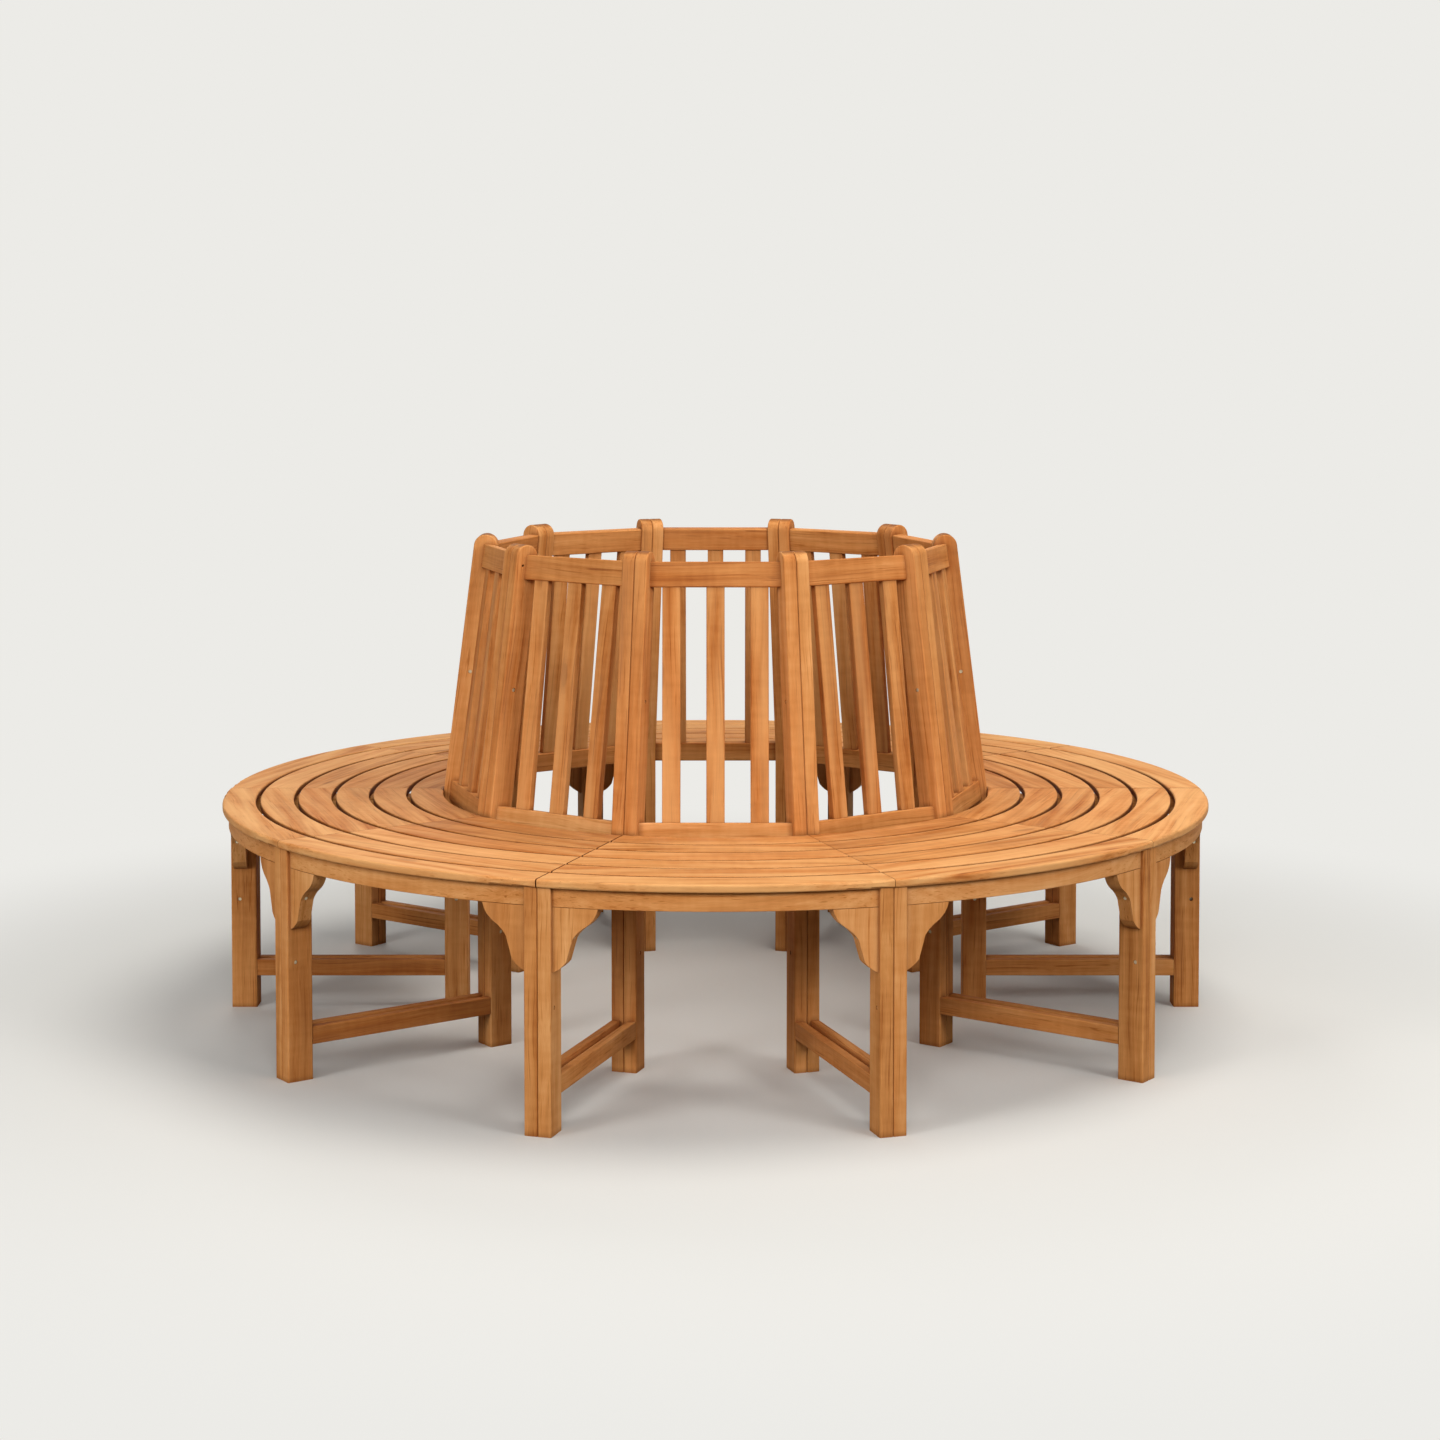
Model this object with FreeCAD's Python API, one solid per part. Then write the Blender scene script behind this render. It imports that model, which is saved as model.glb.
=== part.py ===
import FreeCAD, Part
import math
import os

# Round tree bench: ten equal sections that close a ring around a trunk.
# Lengths are in millimetres and angles in degrees.
# The origin is on the ground at the ring's centre, and +Z is up.
# A frame stands where two sections meet. It is drawn with its outer leg on +X and its halves on -Y and +Y.
# A section is drawn with its middle on +X, between two frames. Both are then turned into place about Z.

# Layout of the ring
section_count = 10
rim_radius = 1000.0
seat_height = 450.0
overall_height = 975.0
post_radius = 557.0

# Outer legs, each a pair of half legs
half_width = 25.0
leg_depth = 52.0
rim_overhang = 5.0
leg_arris = 3.0

# Back posts, each a pair of half posts that lean back above the seat
post_depth = 48.0
post_lean = 7.2
post_arris = 3.0

# Seat slats
slat_rows = 6
slat_thickness = 15.0
slat_gap = 9.0
seat_to_post_gap = 1.0
rim_round = 4.5
slat_arris = 2.5
tight_joint = 1.0
open_joint = 2.5
open_joint_frames = (2, 3, 9)

# Seat bearers, hidden under the slats
bearer_height = 35.0

# Stretchers, a pair in every frame
stretcher_thickness = 17.0
stretcher_height = 33.0
stretcher_ground_gap = 65.0
stretcher_inset = 1.0

# Aprons under the rim
apron_setback = 12.0
apron_thickness = 25.0
apron_height = 34.0

# Brackets between apron and leg, as distances out from the leg and down from the apron
bracket_thickness = 27.0
bracket_length = 82.0
bracket_drop = 114.0
bracket_shoulder_out = 60.0
bracket_shoulder_down = 32.0
bracket_waist_out = 36.5
bracket_waist_down = 55.0
bracket_toe_out = 25.0
bracket_toe_down = 95.0
bracket_shoulder_bulge = 3.8
bracket_hollow_depth = 2.0
bracket_toe_bulge = 2.2

# Back rails and the slats between them
rail_thickness = 22.0
rail_arris = 2.5
bottom_rail_height = 41.0
bottom_rail_above_seat = 21.0
bottom_rail_setback = 13.0
top_rail_height = 48.0
top_rail_below_post_top = 19.0
top_rail_setback = 20.0
back_slat_width = 34.5
back_slat_thickness = 15.0
back_slat_pitch = 83.0
back_slat_setback = 3.0
back_slat_arris = 2.5

# Tenons of stretchers, bearers, aprons and rails, and of the back slats
tenon_length = 12.0
tenon_thickness = 9.0
tenon_shoulder = 6.0
back_slat_tenon_length = 9.0
back_slat_tenon_shoulder = 4.0
joint_clearance = 0.2
hidden_arris = 1.5

# Connector bolts and their sleeve nuts, which draw two half frames together
bolt_diameter = 4.0
bolt_head_diameter = 7.0
bolt_head_height = 2.4
bolt_head_recess = 2.0
sleeve_diameter = 6.0
sleeve_length = 18.0
bolt_clearance = 0.2
leg_bolt_height = 224.0
leg_bolt_inset = 17.5
post_bolt_height = 694.0
post_bolt_inset = 24.0

# One nut sits deeper in its leg than the others, and one post has an open hole under its top
deep_nut_frame = 2
deep_nut_sink = 9.0
open_hole_frame = 8
open_hole_diameter = 5.0
open_hole_depth = 10.0
open_hole_below_post_top = 40.0
open_hole_inset = 15.5

# Wood screws of slats and brackets
screw_diameter = 4.0
screw_head_diameter = 7.0
screw_head_height = 2.6
screw_head_recess = 1.4
screw_bite = 11.0
screw_tip_length = 3.0
screw_clearance = 0.15
bracket_screw_down = 51.0
bracket_screw_head_inset = 3.2
bracket_screw_bite = 15.0
apron_screw_spacing = 300.0

# Sizes worked out from the driving dimensions
half_angle = 180.0 / section_count
sin_half = math.sin(math.radians(half_angle))
cos_half = math.cos(math.radians(half_angle))
tan_half = sin_half / cos_half
slat_underside = seat_height - slat_thickness
leg_front = rim_radius - rim_overhang
leg_back = leg_front - leg_depth
seat_inner_radius = post_radius + seat_to_post_gap
slat_width = (rim_radius - seat_inner_radius - (slat_rows - 1) * slat_gap) / slat_rows
apron_outer_radius = rim_radius - apron_setback
apron_underside = slat_underside - apron_height
bearer_underside = slat_underside - bearer_height
sin_lean = math.sin(math.radians(post_lean))
cos_lean = math.cos(math.radians(post_lean))
tan_lean = sin_lean / cos_lean
beyond = 2.0 * rim_radius
above = 2.0 * overall_height
vector = FreeCAD.Vector
up = vector(0, 0, 1)
origin = vector(0, 0, 0)


def side_plane(along, height):
    """A point of an upright radial plane: distance along +X and height."""
    return vector(along, 0, height)


def ground_plane(along, across):
    """A point of the ground plane."""
    return vector(along, across, 0)


def front_plane(across, height):
    """A point of the upright plane that faces +X."""
    return vector(0, across, height)


def rounded_face(corners, radius, place):
    """A flat face with every corner of a convex outline rounded by one radius."""
    edges = []
    ends = []
    for index, corner in enumerate(corners):
        here = place(*corner)
        before = place(*corners[index - 1]) - here
        after = place(*corners[(index + 1) % len(corners)]) - here
        before.normalize()
        after.normalize()
        half_turn = before.getAngle(after) / 2
        middle = before + after
        middle.normalize()
        reach = radius / math.tan(half_turn)
        centre = here + middle * (radius / math.sin(half_turn))
        start = here + before * reach
        end = here + after * reach
        edges.append(Part.Arc(start, centre - middle * radius, end).toShape())
        ends.append((start, end))
    for index, (start, end) in enumerate(ends):
        following = ends[(index + 1) % len(ends)][0]
        if end.distanceToPoint(following) > 0.001:
            edges.append(Part.LineSegment(end, following).toShape())
    return Part.Face(Part.Wire(Part.__sortEdges__(edges)))


def rounded_bar(low, high, radius, axis):
    """A straight bar from corner low to corner high, its four long edges rounded, lying along one axis."""
    corners_by_axis = {
        "X": (front_plane, low[1], high[1], low[2], high[2], low[0], high[0]),
        "Y": (side_plane, low[0], high[0], low[2], high[2], low[1], high[1]),
        "Z": (ground_plane, low[0], high[0], low[1], high[1], low[2], high[2]),
    }
    directions = {"X": vector(1, 0, 0), "Y": vector(0, 1, 0), "Z": up}
    place, first, second, third, fourth, start, end = corners_by_axis[axis]
    outline = [(first, third), (second, third), (second, fourth), (first, fourth)]
    face = rounded_face(outline, radius, place)
    face.translate(directions[axis] * start)
    return face.extrude(directions[axis] * (end - start))


def block(low, high):
    """A plain block from corner low to corner high."""
    return Part.makeBox(high[0] - low[0], high[1] - low[1], high[2] - low[2], vector(*low))


def grown_block(low, high, margin):
    """The same block, larger by a margin on every side."""
    return block([value - margin for value in low], [value + margin for value in high])


def turned(shape, angle):
    """A copy turned about the ring's axis."""
    copy = shape.copy()
    copy.rotate(origin, up, angle)
    return copy


def mirrored(shape):
    """A copy mirrored in the middle plane of a frame or a section."""
    return shape.mirror(origin, vector(0, 1, 0))


def section_wedge(offset_left, offset_right, low, high):
    """The upright space of one section, held off the middle planes of its two frames."""
    near = 0.2 * post_radius
    corners = []
    for side, offset in ((-1, offset_left), (1, offset_right)):
        for along in (near, beyond)[::-side]:
            corners.append(vector(along, side * (along * tan_half - offset / cos_half), low))
    corners.append(corners[0])
    return Part.Face(Part.makePolygon(corners)).extrude(vector(0, 0, high - low))


def ring_part(inner, outer, low, high, radius):
    """A curved board of one section with rounded long edges, still uncut at its ends."""
    face = rounded_face([(inner, low), (outer, low), (outer, high), (inner, high)], radius, side_plane)
    return turned(face.revolve(origin, up, 2 * half_angle), -half_angle)


def post_front(height):
    """How far out the front face of a back post is at a height."""
    return post_radius - max(0.0, height - seat_height) * tan_lean


def post_corner(height):
    """Distance from the ring's axis to a post's front corner, measured square to a section's back."""
    return post_front(height) * cos_half + half_width * sin_half


# Fasteners

def headed_pin(diameter, length, head_diameter, head_height, tip_length):
    """A bolt or screw along +Z: the seat of its head is at the origin and its shank points up."""
    shank = Part.makeCylinder(diameter / 2, length - tip_length)
    head = Part.makeCylinder(head_diameter / 2, head_height, vector(0, 0, -head_height))
    pin = head.fuse(shank)
    if tip_length > 0:
        tip = Part.makeCone(diameter / 2, diameter / 8, tip_length, vector(0, 0, length - tip_length))
        pin = pin.fuse(tip)
    return pin.removeSplitter()


def pin_hole(diameter, length, head_diameter, head_depth, clearance):
    """The hole for a headed pin: shank and head with clearance, the head's part open downwards."""
    shank = Part.makeCylinder(diameter / 2 + clearance, length + clearance)
    head = Part.makeCylinder(head_diameter / 2 + clearance, head_depth, vector(0, 0, -head_depth))
    return head.fuse(shank)


def aimed(shape, point, direction):
    """A copy whose own +Z axis points in a direction and whose own origin is at a point."""
    copy = shape.copy()
    copy.Placement = FreeCAD.Placement(point, FreeCAD.Rotation(up, direction))
    return copy


# Where the connector bolts pass through a frame: distance along +X and height
leg_bolts = [(leg_front - leg_bolt_inset, leg_bolt_height)]
post_bolts = [
    (post_radius - post_bolt_inset, leg_bolt_height),
    (post_front(post_bolt_height) - post_bolt_inset, post_bolt_height),
]
bolt_sink = bolt_head_height + bolt_head_recess
bolt_seat = half_width - bolt_sink
bolt_length = 2 * bolt_seat - bolt_clearance


def drilled(shape, side, bolts, nut_sink):
    """A half leg or half post with its bolt holes, for the nut on side -1 or the bolt head on side +1."""
    diameter = bolt_diameter if side > 0 else sleeve_diameter
    seat = bolt_seat if side > 0 else bolt_seat - nut_sink
    depth = bolt_seat + half_width
    head_depth = bolt_sink + half_width
    hole = pin_hole(diameter, depth, bolt_head_diameter, head_depth, bolt_clearance)
    for along, height in bolts:
        point = vector(along, side * seat, height)
        shape = shape.cut(aimed(hole, point, vector(0, -side, 0)))
    return shape


def connector_bolt(along, height, nut_sink):
    """A bolt that comes in from the +Y half and ends inside the nut of the other half."""
    bolt = headed_pin(bolt_diameter, bolt_length - nut_sink, bolt_head_diameter, bolt_head_height, 0)
    return aimed(bolt, vector(along, bolt_seat, height), vector(0, -1, 0))


def connector_nut(along, height, nut_sink):
    """A sleeve nut in the -Y half, with a flange like the bolt's head, shorter where it sits deeper."""
    length = sleeve_length - nut_sink
    nut = headed_pin(sleeve_diameter, length, bolt_head_diameter, bolt_head_height, 0)
    nut = nut.cut(Part.makeCylinder(bolt_diameter / 2 + bolt_clearance / 2, length))
    return aimed(nut, vector(along, nut_sink - bolt_seat, height), vector(0, 1, 0))


# Pieces of a frame, drawn for the +Y half

bearer_top = slat_underside
bearer_tenon_low = (
    post_radius - tenon_length,
    (half_width - tenon_thickness) / 2,
    bearer_underside + tenon_shoulder,
)
bearer_tenon_high = (
    leg_back + tenon_length,
    (half_width + tenon_thickness) / 2,
    bearer_top - tenon_shoulder,
)
stretcher_outer = half_width - stretcher_inset
stretcher_inner = stretcher_outer - stretcher_thickness
stretcher_middle = (stretcher_outer + stretcher_inner) / 2
stretcher_top = stretcher_ground_gap + stretcher_height
stretcher_tenon_low = (
    post_radius - tenon_length,
    stretcher_middle - tenon_thickness / 2,
    stretcher_ground_gap + tenon_shoulder,
)
stretcher_tenon_high = (
    leg_back + tenon_length,
    stretcher_middle + tenon_thickness / 2,
    stretcher_top - tenon_shoulder,
)


def frame_mortises():
    """The space of a frame's two tenoned boards, with clearance, for cutting legs and posts."""
    bearer = grown_block(bearer_tenon_low, bearer_tenon_high, joint_clearance)
    stretcher = grown_block(stretcher_tenon_low, stretcher_tenon_high, joint_clearance)
    return [bearer, stretcher]


def stretcher():
    """One low board with a tenon at both ends."""
    low = (post_radius, stretcher_inner, stretcher_ground_gap)
    high = (leg_back, stretcher_outer, stretcher_top)
    board = rounded_bar(low, high, hidden_arris, "X")
    return board.fuse(block(stretcher_tenon_low, stretcher_tenon_high)).removeSplitter()


def slat_screw_points():
    """Where a half frame's screws rise through the bearer, one for every slat it carries, along +X."""
    points = []
    for row in range(slat_rows):
        middle = seat_inner_radius + row * (slat_width + slat_gap) + slat_width / 2
        if middle < leg_back - screw_head_diameter:
            points.append(middle)
    return points


screw_sink = screw_head_height + screw_head_recess
bearer_screw_length = bearer_height - screw_sink + screw_bite
apron_screw_length = apron_height - screw_sink + screw_bite


def bearer():
    """One radial board that carries the slats, with a tenon at both ends and its screw holes."""
    low = (post_radius, 0, bearer_underside)
    high = (leg_back, half_width, bearer_top)
    board = rounded_bar(low, high, hidden_arris, "X")
    board = board.fuse(block(bearer_tenon_low, bearer_tenon_high)).removeSplitter()
    hole = pin_hole(screw_diameter, bearer_screw_length, screw_head_diameter, screw_sink + 1, screw_clearance)
    for along in slat_screw_points():
        board = board.cut(aimed(hole, vector(along, half_width / 2, bearer_underside + screw_sink), up))
    return board


def half_leg(side, nut_sink):
    """One half of an outer leg, side +1 or -1, with its mortises and holes."""
    leg = rounded_bar((leg_back, 0, 0), (leg_front, half_width, slat_underside), leg_arris, "Z")
    for mortise in frame_mortises():
        leg = leg.cut(mortise)
    leg = leg.cut(turned(apron_tenons(joint_clearance), half_angle))
    leg = leg.cut(bracket_screw_hole())
    if side < 0:
        leg = mirrored(leg)
    return drilled(leg, side, leg_bolts, nut_sink)


def post_outline():
    """The side view of a back post: upright below the seat, leaning above it, with a round top."""
    round_radius = post_depth / 2
    knee = vector(post_radius, 0, seat_height)
    lean = vector(-sin_lean, 0, cos_lean)
    square = vector(cos_lean, 0, sin_lean)
    knee_drop = post_depth * math.tan(math.radians(post_lean / 2))
    back_knee = vector(post_radius - post_depth, 0, seat_height - knee_drop)
    rise = (overall_height - round_radius - seat_height + round_radius * sin_lean) / cos_lean
    front_top = knee + lean * rise
    centre = front_top - square * round_radius
    back_top = centre - square * round_radius
    front_foot = vector(post_radius, 0, 0)
    back_foot = vector(post_radius - post_depth, 0, 0)
    edges = [
        Part.LineSegment(front_foot, knee),
        Part.LineSegment(knee, front_top),
        Part.Arc(front_top, centre + lean * round_radius, back_top),
        Part.LineSegment(back_top, back_knee),
        Part.LineSegment(back_knee, back_foot),
        Part.LineSegment(back_foot, front_foot),
    ]
    return Part.Face(Part.Wire([edge.toShape() for edge in edges]))


def half_post(side):
    """One half of a back post, side +1 or -1, with its mortises and holes."""
    post = post_outline().extrude(vector(0, half_width, 0))
    long_edges = []
    for edge in post.Edges:
        flat = edge.BoundBox.YLength < 0.001
        above_ground = edge.BoundBox.ZMax > 1.0
        if flat and above_ground:
            long_edges.append(edge)
    post = post.makeFillet(post_arris, long_edges)
    for mortise in frame_mortises():
        post = post.cut(mortise)
    for mortise in rail_mortises():
        post = post.cut(turned(mortise, half_angle))
    if side < 0:
        post = mirrored(post)
    return drilled(post, side, post_bolts, 0.0)


def open_hole():
    """The space of the open hole in the +Y side of one post."""
    height = overall_height - open_hole_below_post_top
    point = vector(post_front(height) - open_hole_inset, half_width, height)
    return aimed(Part.makeCylinder(open_hole_diameter / 2, open_hole_depth), point, vector(0, -1, 0))


# Apron and brackets

def apron_tenons(clearance):
    """The stub tenons at both ends of an apron, as one straight bar cut to the frames."""
    middle = math.sqrt(apron_outer_radius**2 - half_width**2) - apron_thickness / 2
    low = (middle - tenon_thickness / 2, half_width - tenon_length, apron_underside + tenon_shoulder)
    high = (middle + tenon_thickness / 2, half_width + tenon_length, slat_underside - tenon_shoulder)
    left = turned(grown_block(low, high, clearance), -half_angle)
    return left.fuse(mirrored(left))


def apron():
    """One curved board between two outer legs, tenoned into both and drilled for the rim's screws."""
    inner = apron_outer_radius - apron_thickness
    board = ring_part(inner, apron_outer_radius, apron_underside, slat_underside, hidden_arris)
    board = board.common(section_wedge(half_width, half_width, 0, above))
    board = board.fuse(apron_tenons(0)).removeSplitter()
    hole = pin_hole(screw_diameter, apron_screw_length, screw_head_diameter, screw_sink + 1, screw_clearance)
    for point in apron_screw_points():
        board = board.cut(aimed(hole, point + vector(0, 0, apron_underside + screw_sink), up))
    return board


def apron_screw_points():
    """Where the rim's screws rise through an apron, on the ground plane."""
    radius = apron_outer_radius - apron_thickness / 2
    angle = math.degrees(math.asin(apron_screw_spacing / 2 / radius))
    points = []
    for side in (-1, 1):
        turn = math.radians(side * angle)
        points.append(vector(radius * math.cos(turn), radius * math.sin(turn), 0))
    return points


def bulged_edge(start, end, bulge):
    """An arc from start to end whose middle stands off the straight line, outwards for a positive bulge."""
    run = end - start
    outwards = vector(0, -run.z, run.y)
    outwards.normalize()
    return Part.Arc(start, (start + end) * 0.5 + outwards * bulge, end).toShape()


def bracket_point(out, down):
    """A point of the bracket's outline, out from the +Y side of a leg and down from the apron."""
    return vector(0, half_width + out, apron_underside - down)


bracket_slope = (bracket_shoulder_out - bracket_waist_out) / (bracket_waist_down - bracket_shoulder_down)
bracket_screw_out = bracket_waist_out + (bracket_waist_down - bracket_screw_down) * bracket_slope
bracket_screw_seat = bracket_screw_out - screw_head_height - bracket_screw_head_inset
bracket_screw_length = bracket_screw_seat + bracket_screw_bite
bracket_screw_along = apron_outer_radius - apron_thickness / 2


def bracket_screw_hole():
    """The hole of the screw that fastens a bracket to its leg."""
    depth = bracket_length
    hole = pin_hole(screw_diameter, bracket_screw_length, screw_head_diameter, depth, screw_clearance)
    return aimed(hole, bracket_screw_place(), vector(0, -1, 0))


def bracket_screw_place():
    """Where the seat of a bracket screw's head is, on the +Y side of a leg."""
    point = bracket_point(bracket_screw_seat, bracket_screw_down)
    return point + vector(bracket_screw_along, 0, 0)


def bracket():
    """The bracket on the +Y side of an outer leg, its face curved with the apron."""
    corner = bracket_point(0, 0)
    tip = bracket_point(bracket_length, 0)
    shoulder = bracket_point(bracket_shoulder_out, bracket_shoulder_down)
    waist = bracket_point(bracket_waist_out, bracket_waist_down)
    toe = bracket_point(bracket_toe_out, bracket_toe_down)
    foot = bracket_point(0, bracket_drop)
    edges = [
        Part.LineSegment(corner, tip).toShape(),
        bulged_edge(tip, shoulder, bracket_shoulder_bulge),
        bulged_edge(shoulder, waist, -bracket_hollow_depth),
        Part.LineSegment(waist, toe).toShape(),
        bulged_edge(toe, foot, bracket_toe_bulge),
        Part.LineSegment(foot, corner).toShape(),
    ]
    plate = Part.Face(Part.Wire(edges)).extrude(vector(beyond, 0, 0))
    full_ring = Part.makeCylinder(apron_outer_radius, above)
    hollow = Part.makeCylinder(apron_outer_radius - bracket_thickness, above)
    return plate.common(full_ring.cut(hollow)).cut(bracket_screw_hole())


# The back of a section, drawn upright with its front face at X = 0 and then leant back

back_bottom = seat_height + bottom_rail_above_seat - bottom_rail_height
back_top = overall_height - top_rail_below_post_top
bottom_rail_middle = back_bottom + bottom_rail_height / 2
top_rail_middle = back_top - top_rail_height / 2
back_low_front = post_corner(bottom_rail_middle) - bottom_rail_setback
back_high_front = post_corner(top_rail_middle) - top_rail_setback
back_lean = math.degrees(math.atan2(back_low_front - back_high_front, top_rail_middle - bottom_rail_middle))
cos_back = math.cos(math.radians(back_lean))
back_foot_front = back_low_front + (bottom_rail_middle - back_bottom) * math.tan(math.radians(back_lean))
back_rise = (back_top - back_bottom) / cos_back


def leant(shape):
    """A piece of the back, drawn upright, moved to its place between two posts."""
    copy = shape.copy()
    copy.rotate(origin, vector(0, 1, 0), -back_lean)
    copy.translate(vector(back_foot_front, 0, back_bottom))
    return copy


def rail_bar(low, high, margin, wood_offset):
    """A rail or its tenons between the frames: a straight bar cut parallel to the frames' middle planes."""
    bar_low = (-rail_thickness + margin, -beyond, low + margin)
    bar_high = (-margin, beyond, high - margin)
    bar = leant(rounded_bar(bar_low, bar_high, rail_arris if margin == 0 else hidden_arris, "Y"))
    return bar.common(section_wedge(wood_offset, wood_offset, 0, above))


rail_bands = [(0.0, bottom_rail_height), (back_rise - top_rail_height, back_rise)]


def rail_mortises():
    """The space of both rails' tenons, with clearance."""
    mortises = []
    for low, high in rail_bands:
        depth = half_width - tenon_length - joint_clearance
        mortises.append(rail_bar(low, high, tenon_shoulder - joint_clearance, depth))
    return mortises


def back_slat(across, clearance):
    """One upright slat of the back with its tenons, or the space of it for the rails' mortises."""
    low, high = rail_bands[0][1], rail_bands[1][0]
    front = -back_slat_setback
    half = back_slat_width / 2
    shoulder = back_slat_tenon_shoulder - clearance
    tenon_end = back_slat_tenon_length + clearance
    tenon_low = (front - back_slat_thickness + shoulder, across - half + shoulder, low - tenon_end)
    tenon_high = (front - shoulder, across + half - shoulder, high + tenon_end)
    tenons = block(tenon_low, tenon_high)
    if clearance > 0:
        return leant(tenons)
    body_low = (front - back_slat_thickness, across - half, low)
    body_high = (front, across + half, high)
    body = rounded_bar(body_low, body_high, back_slat_arris, "Z")
    return leant(body.fuse(tenons).removeSplitter())


back_slat_places = (-back_slat_pitch, 0.0, back_slat_pitch)


def rail(low, high):
    """A back rail with a tenon at both ends and mortises for the slats."""
    bar = rail_bar(low, high, 0, half_width)
    bar = bar.fuse(rail_bar(low, high, tenon_shoulder, half_width - tenon_length)).removeSplitter()
    for across in back_slat_places:
        bar = bar.cut(back_slat(across, joint_clearance))
    return bar


# Seat slats

def seat_slat(row, left_joint, right_joint):
    """One curved seat board of a section, cut to its two joints and drilled for its screws."""
    inner = seat_inner_radius + row * (slat_width + slat_gap)
    outer = inner + slat_width
    on_rim = row == slat_rows - 1
    board = ring_part(inner, outer, slat_underside, seat_height, rim_round if on_rim else slat_arris)
    board = board.common(section_wedge(left_joint / 2, right_joint / 2, 0, above))
    pilot = Part.makeCylinder(screw_diameter / 2 + screw_clearance, screw_bite + screw_clearance)
    for point in seat_screw_points(row):
        board = board.cut(aimed(pilot, point + vector(0, 0, slat_underside), up))
    return board


def seat_screw_points(row):
    """Where screws enter one seat board, on the ground plane of its section."""
    bearer_points = slat_screw_points()
    if row < len(bearer_points):
        right = turned(Part.Vertex(bearer_points[row], half_width / 2, 0), -half_angle).Point
        return [right, vector(right.x, -right.y, 0)]
    if row == slat_rows - 1:
        return apron_screw_points()
    return []


def slat_screws():
    """All the screws of one section's seat boards."""
    screws = []
    for row in range(slat_rows):
        through_apron = row == slat_rows - 1
        length = apron_screw_length if through_apron else bearer_screw_length
        underside = apron_underside if through_apron else bearer_underside
        screw = headed_pin(screw_diameter, length, screw_head_diameter, screw_head_height, screw_tip_length)
        for point in seat_screw_points(row):
            screws.append(aimed(screw, point + vector(0, 0, underside + screw_sink), up))
    return screws


def bracket_screw():
    """The screw that fastens a bracket on the +Y side of a leg."""
    length = bracket_screw_length
    screw = headed_pin(screw_diameter, length, screw_head_diameter, screw_head_height, screw_tip_length)
    return aimed(screw, bracket_screw_place(), vector(0, -1, 0))


# Where sections and frames stand: section 0 looks towards -Y, and frame 0 is on its right

def section_angle(index):
    """Turn of a section about the ring's axis."""
    return -90.0 + 2 * half_angle * index


def frame_angle(index):
    """Turn of the frame between a section and the next."""
    return section_angle(index) + half_angle


def around(shapes, angle_of):
    """Copies of one section's or one frame's shapes in all their places."""
    return [turned(shape, angle_of(index)) for index in range(section_count) for shape in shapes]


def joint_width(index):
    """Width of the slats' butt joint over a frame: most are tight, a few have opened."""
    return open_joint if index % section_count in open_joint_frames else tight_joint


def save(node, solids):
    """Write one node as a STEP file and print what it holds."""
    for solid in solids:
        if not solid.isValid():
            print("invalid solid in", node)
    group = Part.makeCompound(solids)
    group.exportStep("parts/" + node + ".step")
    volume = sum(solid.Volume for solid in solids)
    print("%-22s %4d solids %12.1f mm3" % (node, len(group.Solids), volume))


def single(shape):
    """The one solid of a shape made by cutting and joining."""
    if len(shape.Solids) != 1:
        print("expected one solid, found", len(shape.Solids))
    return shape.Solids[0]


def main():
    os.makedirs("parts", exist_ok=True)
    plain_legs = [single(half_leg(side, 0.0)) for side in (-1, 1)]
    deep_nut_legs = [single(half_leg(side, deep_nut_sink)) for side in (-1, 1)]
    plain_posts = [single(half_post(side)) for side in (-1, 1)]
    open_hole_posts = [plain_posts[0], single(plain_posts[1].cut(open_hole()))]
    one_stretcher = single(stretcher())
    stretcher_halves = [single(mirrored(one_stretcher)), one_stretcher]
    top_rail = single(rail(*rail_bands[1]))
    for index in range(section_count):
        number = "%02d" % (index + 1)
        legs = deep_nut_legs if index == deep_nut_frame else plain_legs
        posts = open_hole_posts if index == open_hole_frame else plain_posts
        save("outer_leg_" + number, [turned(half, frame_angle(index)) for half in legs])
        save("back_post_" + number, [turned(half, frame_angle(index)) for half in posts])
        save("stretcher_pair_" + number, [turned(half, frame_angle(index)) for half in stretcher_halves])
        save("top_rail_" + number, [turned(top_rail, section_angle(index))])

    for row in range(slat_rows):
        boards = []
        cut_boards = {}
        for index in range(section_count):
            joints = (joint_width(index - 1), joint_width(index))
            if joints not in cut_boards:
                cut_boards[joints] = single(seat_slat(row, *joints))
            boards.append(turned(cut_boards[joints], section_angle(index)))
        save("seat_slat_ring_%d" % (row + 1), boards)

    one_bearer = single(bearer())
    one_bracket = single(bracket())
    save("seat_bearers", around([single(mirrored(one_bearer)), one_bearer], frame_angle))
    save("outer_aprons", around([single(apron())], section_angle))
    save("brackets_left", around([single(mirrored(one_bracket))], frame_angle))
    save("brackets_right", around([one_bracket], frame_angle))
    save("bottom_rails", around([single(rail(*rail_bands[0]))], section_angle))
    for name, across in zip(("left", "middle", "right"), back_slat_places):
        save("back_slats_" + name, around([single(back_slat(across, 0))], section_angle))

    bolts = []
    nuts = []
    for index in range(section_count):
        leg_sink = deep_nut_sink if index == deep_nut_frame else 0.0
        for places, nut_sink in ((leg_bolts, leg_sink), (post_bolts, 0.0)):
            for place in places:
                bolts.append(turned(single(connector_bolt(*place, nut_sink)), frame_angle(index)))
                nuts.append(turned(single(connector_nut(*place, nut_sink)), frame_angle(index)))
    save("connector_bolts", bolts)
    save("connector_nuts", nuts)
    one_screw = single(bracket_screw())
    save("bracket_screws", around([single(mirrored(one_screw)), one_screw], frame_angle))
    save("slat_screws", around(slat_screws(), section_angle))


main()
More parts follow.
